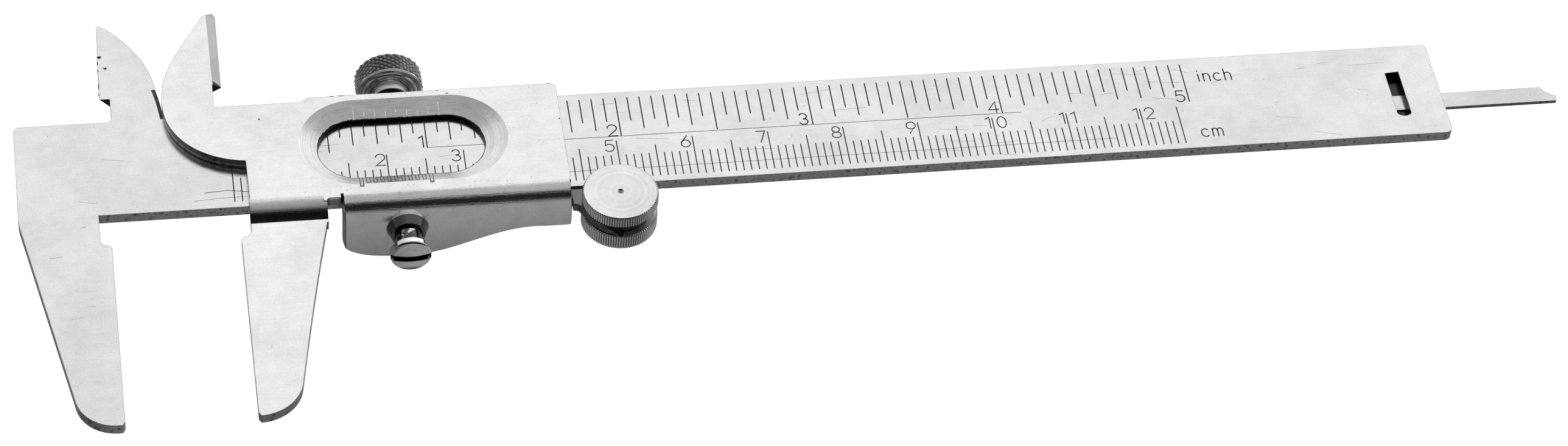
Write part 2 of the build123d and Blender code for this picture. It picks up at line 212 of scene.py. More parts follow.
def blank(name):
    """A new node material: itself, its graph, its texture coordinates and the place in millimetres."""
    mat = bpy.data.materials.new(name)
    mat.use_nodes = True
    g = Graph(mat.node_tree)
    coords = g.node("ShaderNodeTexCoord")
    place = g.scaled(coords.outputs["Object"], (1 / mm, 1 / mm, 1 / mm))
    return mat, g, coords, place


def tone(g, place, grain):
    """Uneven brightness of ground steel: clouds, brushing, fine grain and flecks.

    grain stretches the brushing."""
    broad = g.swing(place, 0.07, 3.0, 0.6)
    clouds = g.swing(place, 0.45, 4.0, 0.65)
    streaks = g.swing(g.scaled(place, grain), 1.0, 4.0, 0.7)
    fine = g.swing(place, 3.6, 4.0, 0.75)
    flecks = g.span(g.noise(place, 1.15, 3.0, 0.6), 0.66, 0.74)
    total = g.math("MULTIPLY", broad, 0.42)
    total = g.math("ADD", total, g.math("MULTIPLY", clouds, 0.34))
    total = g.math("ADD", total, g.math("MULTIPLY", streaks, 0.2))
    total = g.math("ADD", total, g.math("MULTIPLY", fine, 0.3))
    total = g.math("SUBTRACT", total, g.math("MULTIPLY", flecks, 0.16))
    return total, streaks, fine, clouds


def edge_wear(g):
    """1 along sharp edges, 0 on open faces: where the dark lines of painted shade go."""
    reach = 0.19 * mm
    rounded = g.node("ShaderNodeBevel", samples=6)
    rounded.inputs["Radius"].default_value = reach
    true = g.node("ShaderNodeNewGeometry")
    across = g.node("ShaderNodeVectorMath", operation="DOT_PRODUCT")
    g.put(across.inputs[0], rounded.outputs[0])
    g.put(across.inputs[1], true.outputs["Normal"])
    return g.span(across.outputs["Value"], 0.99, 0.85)


def darkened(g, level, spot, boxes):
    """A gray level that is multiplied, inside each box (low, high, shade), by its shade: painted shade below
    1 and painted highlight above 1.
    """
    for low, high, shade in boxes:
        level = g.math("MULTIPLY", level, g.span(g.inside(spot, low, high), 0.0, 1.0, 1.0, shade))
    return level


def finish(g, level, rough, height, strength, tint=None):
    """A metal surface with this gray level and roughness; height, at this strength, gives its fine relief.

    tint multiplies the gray and so makes it another metal's colour."""
    relief_depth = 0.02 * mm
    bump = g.node("ShaderNodeBump")
    bump.inputs["Strength"].default_value = strength
    bump.inputs["Distance"].default_value = relief_depth
    g.put(bump.inputs["Height"], height)
    shader = g.node("ShaderNodeBsdfPrincipled")
    shader.inputs["Metallic"].default_value = 1.0
    colour = g.gray(level)
    g.put(shader.inputs["Base Color"], g.scaled(colour, tint) if tint else colour)
    g.put(shader.inputs["Roughness"], rough)
    g.put(shader.inputs["Normal"], bump.outputs[0])
    out = g.node("ShaderNodeOutputMaterial")
    g.put(out.inputs[0], shader.outputs[0])


def contour_streaks(g, spot):
    """Tool marks that follow the outline of the window's bevel."""
    half = (bevel_size.x - bevel_size.y) / 2
    beyond = g.math("SUBTRACT", g.math("ABSOLUTE", g.math("SUBTRACT", spot[0], bevel_centre.x)), half)
    beyond = g.math("MAXIMUM", beyond, 0.0)
    aside = g.math("SUBTRACT", spot[1], bevel_centre.y)
    square = g.math("ADD", g.math("MULTIPLY", beyond, beyond), g.math("MULTIPLY", aside, aside))
    marks_per_mm = 5.5
    breaks_per_mm = 0.25
    lanes = g.node("ShaderNodeCombineXYZ")
    g.put(lanes.inputs[0], g.math("MULTIPLY", g.math("SQRT", square), marks_per_mm))
    g.put(lanes.inputs[1], g.math("MULTIPLY", spot[0], breaks_per_mm))
    return g.span(g.noise(lanes.outputs[0], 1.0, 4.0, 0.7), 0.25, 0.75, 0.72, 1.2)


def sheared(g, place, cut):
    """The gray level of a sheared edge: coarse and nicked."""
    coarse = g.swing(place, 5.0, 4.0, 0.7)
    level = g.math("MULTIPLY", g.math("ADD", g.math("MULTIPLY", coarse, 1.2), 1.0), cut)
    nicks = g.span(g.noise(place, 1.7, 3.0, 0.6), 0.54, 0.64, 1.0, 0.35)
    return g.math("MULTIPLY", level, nicks)


def polish(g, box, spot, outward, fine, surface):
    """The surface (share of face, roughness, level, height), smoother and with painted shade on outward faces
    in the box.

    box: (low, high, roughness, fade); fade is the painted shade's change with height there: (low z, high z,
    shade, shade)."""
    low, high, smooth, fade = box
    on_face, rough, level, height = surface
    inside = g.math("MULTIPLY", g.inside(spot, low, high), g.span(outward, 0.02, 0.1))
    sparkle = g.math("MULTIPLY", g.math("ADD", fine, 0.5), 0.1)
    return (
        g.math("MAXIMUM", on_face, inside),
        g.mix(inside, rough, g.math("ADD", sparkle, smooth)),
        # Painted shade: the level is scaled by height inside the box.
        g.math("MULTIPLY", level, g.mix(inside, 1.0, g.span(spot[2], *fade))),
        g.math("MULTIPLY", height, g.mix(inside, 1.0, 2.2)),
    )


def steel(name, face, cut, polished_and_shaded=(), dark=(), bevel=None, tint=None):
    """Ground steel: faces that look up or down are satin and bright, sheared edges are darker and coarser.

    face, cut: the gray levels of the two. polished: boxes for smoothing and painted shade. dark: boxes of
    painted shade (low, high, shade); above 1, painted highlight. bevel: the window bevel's box. tint: see
    finish."""
    mat, g, coords, place = blank(name)
    normal = g.apart(coords.outputs["Normal"])
    spot = g.apart(place)
    on_face = g.span(g.math("ABSOLUTE", normal[2]), 0.25, 0.45, smooth=True)
    uneven, streaks, fine, clouds = tone(g, place, brushing)
    face_level = g.math("MULTIPLY", g.math("ADD", uneven, 1.0), face)
    cut_level = sheared(g, place, cut)
    rough = g.mix(on_face, cut_rough, face_rough)
    height = g.math("ADD", streaks, g.math("MULTIPLY", fine, 0.9))
    outward = g.math("MULTIPLY", normal[1], -1.0)
    surface = (on_face, rough, face_level, height)
    for box in polished_and_shaded:
        surface = polish(g, box, spot, outward, fine, surface)
    on_face, rough, face_level, height = surface
    level = g.mix(on_face, cut_level, face_level)
    # Painted shade: dark lines along sharp edges, in patches.
    patches = g.span(g.noise(place, 0.9, 3.0, 0.6), 0.35, 0.6, 0.3, 0.8)
    wear_and_edge_shade = g.math("MULTIPLY", edge_wear(g), patches)
    level = g.math("MULTIPLY", level, g.math("SUBTRACT", 1.0, wear_and_edge_shade))
    level = darkened(g, level, spot, dark)
    if bevel:
        level = g.math("MULTIPLY", level, g.mix(g.inside(spot, *bevel), 1.0, contour_streaks(g, spot)))
    rough = g.math("ADD", rough, g.math("MULTIPLY", clouds, 0.12))
    finish(g, level, rough, height, 0.35, tint)
    return mat


def turned(name, level, centre, along, rings, rough=0.25, pit=None, shank=None, relief=0.3, dark=()):
    """Turned steel: fine rings about an axis through centre; along is the axis's index.

    rings: how many to a millimetre. pit: (radius, radius); painted shade, dark within the first radius and at
    full level from the second. Beyond shank, along the axis, painted shade makes it nearly black, with a few
    painted
    glints. relief: the strength of the fine relief. dark: boxes (low, high, shade) of painted shade."""
    mat, g, _, place = blank(name)
    spot = g.apart(place)
    one, two = [k for k in range(3) if k != along]
    a = g.math("SUBTRACT", spot[one], centre[one])
    b = g.math("SUBTRACT", spot[two], centre[two])
    radius = g.math("SQRT", g.math("ADD", g.math("MULTIPLY", a, a), g.math("MULTIPLY", b, b)))
    ring_place = g.node("ShaderNodeCombineXYZ")
    g.put(ring_place.inputs[0], radius)
    g.put(ring_place.inputs[1], g.math("MULTIPLY", spot[along], 0.7))
    ring = g.swing(ring_place.outputs[0], rings, 3.0, 0.65)
    uneven, _, fine, clouds = tone(g, place, no_brushing)
    total = g.math("ADD", uneven, g.math("MULTIPLY", ring, 0.3))
    gray = g.math("MULTIPLY", g.math("ADD", total, 1.0), level)
    # Painted shade: dark inside the pit radius.
    if pit:
        gray = g.math("MULTIPLY", gray, g.span(radius, pit[0], pit[1], 0.14, 1.0))
    # Painted shade: nearly black beyond the shank's start, with painted glints.
    if shank:
        glints = g.span(g.noise(place, 1.5, 3.0, 0.65), 0.52, 0.66, 0.08, 0.8)
        gray = g.math("MULTIPLY", gray, g.mix(g.span(spot[along], shank, shank + 0.05), 1.0, glints))
    # Painted shade boxes.
    gray = darkened(g, gray, spot, dark)
    # Painted shade: dark lines along sharp edges, at half strength.
    wear_and_edge_shade = g.math("MULTIPLY", edge_wear(g), 0.5)
    gray = g.math("MULTIPLY", gray, g.math("SUBTRACT", 1.0, wear_and_edge_shade))
    height = g.math("ADD", ring, g.math("MULTIPLY", fine, 0.7))
    finish(g, gray, g.math("ADD", g.math("MULTIPLY", clouds, 0.2), rough), height, relief)
    return mat


def ink(name, level):
    """Dull dark filling of the engraved lines, worn lighter in places."""
    mat, g, _, place = blank(name)
    wear_and_edge_shade = g.span(g.noise(place, 1.4, 3.0, 0.6), 0.3, 0.75, 0.55, 1.9)
    shader = g.node("ShaderNodeBsdfPrincipled")
    g.put(shader.inputs["Base Color"], g.gray(g.math("MULTIPLY", wear_and_edge_shade, level)))
    shader.inputs["Roughness"].default_value = 0.6
    shader.inputs["Specular IOR Level"].default_value = 0.25
    out = g.node("ShaderNodeOutputMaterial")
    g.put(out.inputs[0], shader.outputs[0])
    return mat


def groove(name):
    """The bare floor of an unfilled engraved line: level, so that it catches the light above."""
    mat, g, _, place = blank(name)
    level_normal = g.node("ShaderNodeCombineXYZ")
    level_normal.inputs[2].default_value = 1.0
    shader = g.node("ShaderNodeBsdfPrincipled")
    shader.inputs["Metallic"].default_value = 1.0
    shader.inputs["Roughness"].default_value = 0.3
    g.put(shader.inputs["Base Color"], g.gray(g.span(g.noise(place, 3.0, 3.0), 0.35, 0.65, 0.3, 0.72)))
    g.put(shader.inputs["Normal"], level_normal.outputs[0])
    out = g.node("ShaderNodeOutputMaterial")
    g.put(out.inputs[0], shader.outputs[0])
    return mat


# ---- limits of the boxes of painted shade and highlight below, in millimetres; black is their darkest shade ----
margin = 0.1
fold_low = -4.6
flange_low = -9.0
black = 0.06


def beam_look():
    """The beam: painted shade makes its end slot and the end of the fixed knife's root black."""
    # Painted shade: the end slot's walls, black.
    end_slot = ((170.3, 3.3, -1.3), (172.6, 11.9, -0.04), black)
    # Painted shade: the end of the fixed knife's root, black.
    knife_end = ((-0.5, knife_y - margin, beam_low.z - margin), (neck_x + 0.3, knife_y + 0.05, -0.02), black)
    return steel("beam_steel", 0.69, 0.42, dark=(end_slot, knife_end))


def slider_look():
    """The slider's sheet: painted shade on the fold, joggle, window wall, knife, flange end and boss; one
    painted highlight.
    """
    front = sheet_front + margin
    # Painted shade: the fold and flange are graded from 1.2 at the top down to 0.66 at the bottom.
    fold = (
        (notch_right - 0.2, fold_low, flange_low),
        (slider_high.x + margin, margin, front),
        0.06,
        (flange_low, 1.5, 0.66, 1.2),
    )
    # Painted shade: the joggle darkens down towards its crease, from 1.1 to 0.3.
    joggle = (
        (reading + 1.3, -3.3, -2.0),
        (notch_right, margin, front),
        0.12,
        (0.85, 1.42, 0.3, 1.1),
    )
    bevel = (
        (reading + 8.0, 1.2, window_land_top + 0.02),
        (reading + 36.0, 16.6, sheet_front - 0.01),
    )
    # Painted shade: the window's wall below the bevel, black.
    window_wall = (
        (reading + 10.0, 2.9, -margin),
        (reading + 33.5, 13.9, window_land_top + 0.02),
        black,
    )
    # Painted shade: the end of the slider knife's root, black.
    knife_end = (
        (reading - 2.2, knife_y, -margin),
        (reading - 0.5, knife_y + 0.9, sheet_front - 0.05),
        black,
    )
    # Painted shade: the knife's sloping face, a little darker.
    knife = (
        (reading - 1.86, knife_y, -margin),
        (reading - 0.5, 35.0, sheet_front - 0.02),
        0.8,
    )
    # Painted shade: the flange's rounded end beside the notch, dark.
    flange_end = (
        (notch_right - margin, fold_low, flange_low),
        (notch_right + 0.38, -0.9, 0.3),
        0.3,
    )
    # Painted shade: the boss round the guide screw, dark.
    boss = (
        guide_axis - Vector((3.2, 9.0, 4.5)),
        Vector((guide_axis.x + 3.2, -3.13, guide_axis.z + 4.5)),
        0.2,
    )
    # Painted highlight: a bright streak along the slider's curved left wall.
    painted_highlight_streak = (
        (reading - 9.0, 0.5, 0.34),
        (reading + 2.0, 20.0, 0.6),
        2.6,
    )
    return steel(
        "slider_steel",
        0.75,
        0.34,
        polished_and_shaded=(fold, joggle),
        bevel=bevel,
        dark=(window_wall, knife_end, knife, flange_end, boss, painted_highlight_streak),
    )


def guide_look():
    """The guide screw: a bright head, painted shade in its slot and at its foot, and a shank painted black as
    shade.
    """
    slot_reach = Vector((2.2, 0.0, 0.46))
    slot_low = Vector((guide_axis.x, guide_face + 0.06, guide_axis.z)) - slot_reach
    slot_high = Vector((guide_axis.x, guide_face + 1.2, guide_axis.z)) + slot_reach
    # Painted shade: the slot across the head, nearly black.
    slot = (slot_low, slot_high, 0.05)
    # Painted shade: the lower side of the head, darker.
    foot = (
        Vector((guide_axis.x - 3.0, guide_face - margin, guide_axis.z - 3.0)),
        Vector((guide_axis.x + 3.0, guide_face + 1.5, guide_axis.z - 1.75)),
        0.35,
    )
    return turned(
        "guide_steel",
        0.78,
        guide_axis,
        along_y,
        3.0,
        rough=0.06,
        # Painted shade: the shank, nearly black with painted glints.
        shank=guide_back,
        relief=0.06,
        dark=(slot, foot),
    )


def finish_cad_nodes():
    """Each CAD node's finish, by its name; the rivets and pins share one."""
    looks = {
        "beam": beam_look(),
        "slider_plate": slider_look(),
        "slider_back": steel("back_steel", 0.55, 0.3),
        "gib": steel("gib_brass", 0.9, 0.7, tint=(0.95, 0.78, 0.4)),
        "depth_rod": steel("rod_steel", 0.62, 0.2),
        # Painted shade: the hook lies under the beam beside the slider and is given a near-black level.
        "roller_hook": steel("hook_steel_painted_shade", 0.16, 0.17),
        "guide_screw": guide_look(),
        "lock_screw": turned("lock_steel_plain", 0.6, lock_axis, along_y, 3.0),
        "roller": turned("roller_steel_plain", 0.8, roller_axis, along_z, 3.0),
    }
    rivet_look = steel("rivet_steel", 0.55, 0.4)
    for name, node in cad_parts.items():
        look = looks.get(name, rivet_look)
        node.data.materials.clear()
        node.data.materials.append(look)


# =====================================================================
# Engraved lines and figures
# =====================================================================
def mesh_piece(name, build, look, body):
    """A new piece whose mesh is filled by build(bm). look: its material, or a tuple of them."""
    bm = bmesh.new()
    build(bm)
    bmesh.ops.recalc_face_normals(bm, faces=bm.faces)
    for face in bm.faces:
        face.smooth = True
    for edge in bm.edges:
        edge.smooth = edge.calc_face_angle(math.pi) < sharp_angle
    mesh = bpy.data.meshes.new(name)
    bm.to_mesh(mesh)
    bm.free()
    for one in look if isinstance(look, tuple) else (look,):
        mesh.materials.append(one)
    piece = bpy.data.objects.new(name, mesh)
    bpy.context.collection.objects.link(piece)
    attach(piece, body)
    return piece


def ribbon(bm, points, width, place):
    """A closed bar along points, in a flat plane. place(x, y, lift) gives its corners, in millimetres."""
    path = [Vector(p) for p in points]
    sides = []
    for i, here in enumerate(path):
        before = path[max(i - 1, 0)]
        after = path[min(i + 1, len(path) - 1)]
        along_in = (here - before).normalized() if here != before else (after - here).normalized()
        along_out = (after - here).normalized() if after != here else along_in
        along = (along_in + along_out).normalized()
        across = Vector((-along.y, along.x))
        reach = width / 2 / max(0.5, along.dot(along_in))
        extend = Vector((0, 0))
        if i == 0:
            extend = -along * width * 0.25
        if i == len(path) - 1:
            extend = along * width * 0.25
        sides.append((here + across * reach + extend, here - across * reach + extend))
    rings = []
    for left, right in sides:
        corners = ((left, -line_depth), (left, line_proud), (right, line_proud), (right, -line_depth))
        rings.append([bm.verts.new(place(p.x, p.y, lift) * mm) for p, lift in corners])
    for one, two in zip(rings, rings[1:]):
        for k in range(4):
            bm.faces.new((one[k], one[(k + 1) % 4], two[(k + 1) % 4], two[k]))
    bm.faces.new(rings[0])
    bm.faces.new(rings[-1])


def on_beam(x, y, lift):
    """A point on the beam's scale face."""
    return Vector((x, y, lift))


def on_bevel(edge_y, outer_y):
    """A placing function for the bevel above or below the window; its y runs up the slope from edge_y."""
    rise = sheet_front - window_land_top
    run = outer_y - edge_y
    slope = math.hypot(run, rise)
    up = Vector((0, run, rise)) / slope
    out = Vector((0, -rise * math.copysign(1, run), abs(run))) / slope

    def place(x, y, lift):
        return Vector((x, edge_y, window_land_top)) + up * y + out * lift

    return place


on_upper_bevel = on_bevel(window_centre.y + window_size.y / 2, bevel_centre.y + bevel_size.y / 2)
on_lower_bevel = on_bevel(window_centre.y - window_size.y / 2, bevel_centre.y - bevel_size.y / 2)


def arc(cx, cy, rx, ry, start, end, steps=14):
    """Points on an ellipse's arc, angles in degrees."""
    turns = [math.radians(start + (end - start) * k / steps) for k in range(steps + 1)]
    return [(cx + rx * math.cos(t), cy + ry * math.sin(t)) for t in turns]


# The arch that "n" and "h" share.
arch = [(0.06, 0.46)] + arc(0.27, 0.46, 0.21, 0.24, 170, 0, 9) + [(0.48, 0.0)]

# Single-stroke characters, one unit tall: each is a list of strokes.
glyphs = {
    "0": [arc(0.32, 0.5, 0.30, 0.5, 90, 450, 24)],
    "1": [[(0.02, 0.84), (0.30, 1.0), (0.30, 0.0)]],
    "2": [arc(0.32, 0.70, 0.30, 0.30, 175, -40) + [(0.02, 0.0), (0.64, 0.0)]],
    "3": [arc(0.28, 0.74, 0.24, 0.26, 160, -90), arc(0.28, 0.26, 0.28, 0.26, 90, -160)],
    "4": [[(0.50, 0.0), (0.50, 1.0), (0.0, 0.30), (0.68, 0.30)]],
    "5": [[(0.58, 1.0), (0.12, 1.0), (0.06, 0.56)] + arc(0.30, 0.32, 0.31, 0.32, 130, -150)],
    "6": [[(0.46, 1.0), (0.10, 0.50)] + arc(0.32, 0.31, 0.30, 0.31, 160, 520, 22)],
    "7": [[(0.02, 1.0), (0.62, 1.0), (0.26, 0.0)]],
    "8": [arc(0.32, 0.75, 0.25, 0.25, -90, 270, 20), arc(0.32, 0.25, 0.30, 0.25, 90, 450, 20)],
    "9": [arc(0.32, 0.69, 0.30, 0.31, -20, 340, 22) + [(0.18, 0.0)]],
    "i": [[(0.06, 0.0), (0.06, 0.68)], [(0.06, 0.92), (0.06, 1.0)]],
    "n": [[(0.06, 0.0), (0.06, 0.70)], arch],
    "c": [arc(0.28, 0.35, 0.26, 0.35, 45, 315, 16)],
    "h": [[(0.06, 0.0), (0.06, 1.02)], arch],
    "m": [
        [(0.06, 0.0), (0.06, 0.70)],
        [(0.06, 0.46)] + arc(0.23, 0.48, 0.17, 0.22, 170, 0, 9) + [(0.40, 0.0)],
        [(0.40, 0.46)] + arc(0.57, 0.48, 0.17, 0.22, 170, 0, 9) + [(0.74, 0.0)],
    ],
}
# How far each character moves the next one on, in heights.
advance = {"i": 0.34, "m": 1.0, "c": 0.72, "n": 0.74, "h": 0.74}
usual_advance = 0.85


def write(bm, words, x, y, height, place, width=line_w):
    """Characters on one line, from the lower left corner x, y."""
    for letter in words:
        for stroke in glyphs[letter]:
            points = [(x + px * height, y + py * height) for px, py in stroke]
            ribbon(bm, points, width, place)
        x += advance.get(letter, usual_advance) * height


def mm_scale(bm):
    """One line a millimetre up to 125, longer at the half and whole centimetres."""
    foot = 1.0
    one_top = 5.02
    five_top = 6.49
    ten_top = 7.59
    last = 125
    for k in range(last + 1):
        top = ten_top if k % 10 == 0 or k == last else five_top if k % 5 == 0 else one_top
        x = scale_zero + k
        ribbon(bm, [(x, foot), (x, top)], line_w, on_beam)


def inch_scale(bm):
    """One line a sixteenth up to 5 in, longer at the eighths, halves and inches."""
    head = 15.3
    sixteenth_foot = 11.15
    eighth_foot = 9.64
    half_foot = 8.6
    inch_foot = 8.45
    per_inch = 16
    for k in range(5 * per_inch + 1):
        foot = eighth_foot if k % 2 == 0 else sixteenth_foot
        if k % 8 == 0:
            foot = inch_foot if k % per_inch == 0 else half_foot
        x = scale_zero + k * inch / per_inch
        ribbon(bm, [(x, foot), (x, head)], inch_line_w, on_beam)


def scale_figures(bm):
    """Centimetre figures left of their lines, inch figures at the foot of theirs, and the two units."""
    tall = 2.0
    cm_foot = 5.75
    inch_foot = 8.5
    for cm in range(1, 10):
        left = 1.5 if cm < 3 else 1.62
        write(bm, str(cm), scale_zero + cm * 10 - left, cm_foot, tall, on_beam)
    for cm in range(10, 13):
        write(bm, "1", scale_zero + cm * 10 - 1.0, cm_foot, tall, on_beam)
        write(bm, str(cm - 10), scale_zero + cm * 10 + 0.55, cm_foot, tall, on_beam)
    for inches in range(1, 6):
        left = 1.07 if inches == 1 else 1.72
        write(bm, str(inches), scale_zero + inches * inch - left, inch_foot, tall, on_beam, inch_figure_w)
    write(bm, "inch", scale_zero + 5 * inch + 2.0, 12.0, tall, on_beam, inch_figure_w)
    write(bm, "cm", scale_zero + 127.4, 1.9, tall, on_beam, inch_figure_w)


def scribed_lines(bm):
    """The faint setting-out lines along the beam."""
    ribbon(bm, [(scale_zero + inch, 8.42), (scale_zero + 4.1 * inch, 8.36)], 0.08, on_beam)
    ribbon(bm, [(scale_zero + 28, 2.62), (scale_zero + 62, 2.55), (scale_zero + 116, 2.62)], 0.05, on_beam)
    ribbon(bm, [(scale_zero - 5.1, 1.46), (scale_zero - 2.0, 1.7), (scale_zero + 1.7, 1.77)], 0.04, on_beam)


def vernier_mm(bm):
    """Ten divisions over nine millimetres, each an open box cut in the lower bevel."""
    divisions = 10
    step = 9 / divisions
    half = 0.21
    foot = -0.05
    for k in range(divisions + 1):
        x = vernier_zero + k * step
        tall = 2.3 if k in (0, divisions) else 1.65
        loop = [(x - half, foot), (x - half, tall), (x + half, tall), (x + half, foot)]
        ribbon(bm, loop, vernier_line_w, on_lower_bevel)


def vernier_inch(bm):
    """Eight divisions over seven sixteenths of an inch, fine lines on the upper bevel."""
    divisions = 8
    step = 7 * inch / 16 / divisions
    for k in range(divisions + 1):
        x = vernier_zero + k * step
        tall = 1.9 if k in (0, divisions) else 0.75
        low = 0.1 if k in (0, divisions) else 0.45
        ribbon(bm, [(x, low), (x, low + tall)], vernier_line_w, on_upper_bevel)


def scratches(bm, place, count, low, high, longest):
    """Short fine scratches, mostly along the length; those that would leave the field are dropped."""
    for _ in range(count):
        x = random.uniform(low.x, high.x)
        y = random.uniform(low.y, high.y)
        turn = random.gauss(0.0, 0.2)
        reach = random.uniform(0.25, 1.0) * longest
        bow = random.uniform(-0.02, 0.02) * reach
        run = Vector((math.cos(turn), math.sin(turn))) * reach / 2
        side = Vector((-math.sin(turn), math.cos(turn))) * bow
        here = Vector((x, y))
        points = [here - run, here + side, here + run]
        if all(low.x < p.x < high.x and low.y < p.y < high.y for p in points):
            ribbon(bm, [tuple(p) for p in points], random.uniform(0.015, 0.032), place)


def blot(bm, x, y, wide, tall, place, corners=11):
    """A small ragged pit, filled dark."""
    ring = []
    for k in range(corners):
        turn = 2 * math.pi * k / corners
        reach = random.uniform(0.6, 1.1)
        ring.append((x + wide / 2 * math.cos(turn) * reach, y + tall / 2 * math.sin(turn) * reach))
    top = [bm.verts.new(place(px, py, line_proud) * mm) for px, py in ring]
    foot = [bm.verts.new(place(px, py, -line_depth) * mm) for px, py in ring]
    bm.faces.new(top)
    bm.faces.new(foot)
    for k in range(corners):
        one = (k + 1) % corners
        bm.faces.new((top[k], top[one], foot[one], foot[k]))


def beam_pits(bm):
    """One deep scratch, nicks on the fixed inside jaw's edge and corrosion pits scattered over the beam."""
    ribbon(bm, [(scale_zero - 3.75, 2.78), (scale_zero - 0.9, 3.0), (scale_zero + 1.75, 2.6)], 0.08, on_beam)
    for x, y, wide, tall in ((0.12, 28.2, 0.75, 0.5), (0.86, 26.1, 0.5, 0.45), (0.55, 26.3, 0.35, 0.12)):
        blot(bm, x, y, wide, tall, on_beam)
    for y, tall in ((27.1, 0.9), (25.7, 0.5), (22.9, 1.1), (21.4, 0.6)):
        edge_x = -0.2 + 0.03 * (y - 24.0)
        blot(bm, edge_x, y, 0.16, tall, on_beam)
    scattered = 46
    for _ in range(scattered):
        x = random.uniform(beam_low.x + 1.0, beam_high.x - 1.0)
        y = random.uniform(0.6, 15.8)
        blot(bm, x, y, random.uniform(0.05, 0.16), random.uniform(0.05, 0.13), on_beam, 7)


def on_sheet(x, y, lift):
    """A point on the slider's front face."""
    return Vector((x, y, sheet_front + lift))


def slider_pits(bm):
    """Nicks along the slider's top edge and small pits on its face."""
    top_edge = 17.25
    for x, wide in ((13.4, 0.7), (14.6, 1.1), (27.2, 0.5), (41.8, 0.45)):
        blot(bm, reading + x, top_edge, wide, 0.12, on_sheet)
    blot(bm, reading + 3.7, 13.9, 0.34, 0.3, on_sheet)
    blot(bm, reading + 28.4, 16.62, 0.5, 0.16, on_sheet)
    blot(bm, reading + 42.52, 10.87, 0.16, 0.42, on_sheet)
    scattered = 26
    for _ in range(scattered):
        x = reading + random.uniform(2.5, 41.5)
        y = random.choice((random.uniform(0.2, 1.2), random.uniform(16.5, 17.1)))
        blot(bm, x, y, random.uniform(0.06, 0.2), random.uniform(0.05, 0.12), on_sheet, 7)


def edge_strip(bm):
    """A dark strip along the fixed inside jaw's edge, beside the slider."""
    path = ((6.78, 21.6), (7.09, 20.2), (7.29, 19.0), (7.5, 17.4), (7.6, 16.5))
    wide = 0.48
    ribbon(bm, path, wide, on_beam)


def beam_scratches(bm):
    """Scratches over the beam's strip, and a few on the fixed outside jaw."""
    scratches(bm, on_beam, 40, Vector((beam_low.x, 0.3)), Vector((beam_high.x, 15.9)), 5.0)
    scratches(bm, on_beam, 6, Vector((-9.0, -18.0)), Vector((-1.5, 0.0)), 2.5)


def stadium(centre, size, count):
    """Points around a straight-sided slot with round ends, starting at its lower right."""
    radius = size.y / 2
    half = size.x / 2 - radius
    quarter = count // 4
    points = []
    for end in (1, -1):
        for k in range(quarter):
            turn = -end * math.pi / 2 + math.pi * k / quarter
            x = centre.x + end * half + radius * math.cos(turn)
            points.append(Vector((x, centre.y + radius * math.sin(turn))))
        for k in range(quarter):
            x = centre.x + end * half - end * 2 * half * k / quarter
            points.append(Vector((x, centre.y + end * radius)))
    return points


def window_burr(bm):
    """Painted shade: a ragged dark lip where the bevel meets the window, wider along the top."""
    count = 400
    inner = stadium(window_centre, window_size, count)
    outer = stadium(bevel_centre, bevel_size, count)
    top_side = window_centre.y + 2.0
    top_widest = 0.075
    widest = 0.04
    narrowest = 0.01
    rows = []
    ragged = 0.4
    for here, far in zip(inner, outer):
        ragged = 0.6 * ragged + 0.4 * random.random()
        share = narrowest + (top_widest if here.y > top_side else widest) * ragged
        low = Vector((here.x, here.y, window_land_top))
        high = Vector((far.x, far.y, sheet_front))
        lift = Vector((0, 0, line_proud))
        tip = low.lerp(high, share) + lift
        rows.append((bm.verts.new((low + lift) * mm), bm.verts.new(tip * mm)))
    for one, two in zip(rows, rows[1:] + rows[:1]):
        bm.faces.new((one[0], two[0], two[1], one[1]))


def engrave():
    """All lines, figures and marks, on the body that carries them."""
    dark = ink("engraving_ink", ink_gray)
    faint = ink("scribed_ink", 0.28)
    light = groove("bare_groove")
    pit = ink("pit_dark", 0.07)
    mesh_piece("scale_mm_lines", mm_scale, dark, "frame")
    mesh_piece("scale_inch_lines", inch_scale, dark, "frame")
    mesh_piece("scale_figures", scale_figures, dark, "frame")
    mesh_piece("scribed_lines", scribed_lines, faint, "frame")
    mesh_piece("vernier_mm_lines", vernier_mm, ink("vernier_ink", 0.13), "slider")
    mesh_piece("vernier_inch_lines", vernier_inch, light, "slider")
    mesh_piece("beam_pits", beam_pits, pit, "frame")
    mesh_piece("slider_pits", slider_pits, pit, "slider")
    mesh_piece("inside_jaw_strip", edge_strip, ink("strip_dark", 0.1), "frame")
    # Painted shade: a dark ragged lip round the window.
    mesh_piece("window_burr", window_burr, ink("window_shade_dark", 0.02), "slider")
    mesh_piece("beam_scratches", beam_scratches, ink("scratch_gray", 0.6), "frame")


# =====================================================================
# Knurled lock screw and thumb roller
# =====================================================================
def lathe(bm, profile, steps, place, teeth=None):
    """Rings about an axis from (radius, height) pairs. teeth(i, j, radius) may change a radius."""
    rings = []
    for i, (radius, height) in enumerate(profile):
        ring = []
        for j in range(steps):
            turn = 2 * math.pi * j / steps
            r = teeth(i, j, radius) if teeth else radius
            ring.append(bm.verts.new(place(r * math.cos(turn), r * math.sin(turn), height) * mm))
        rings.append(ring)
    return rings


def skin(bm, lower, upper, look=0):
    """Quads between two rings."""
    for j in range(len(lower)):
        k = (j + 1) % len(lower)
        bm.faces.new((lower[j], lower[k], upper[k], upper[j])).material_index = look


def fan(bm, ring, point):
    """Triangles from a ring to its centre."""
    hub = bm.verts.new(point * mm)
    for j in range(len(ring)):
        bm.faces.new((ring[j], ring[(j + 1) % len(ring)], hub))


def about_y(axis):
    """Placing function for a lathe whose axis runs along Y through axis."""
    return lambda a, b, height: Vector((axis.x + a, height, axis.z + b))


def about_z(axis):
    """Placing function for a lathe whose axis runs along Z through axis."""
    return lambda a, b, height: Vector((axis.x + a, axis.y + b, height))


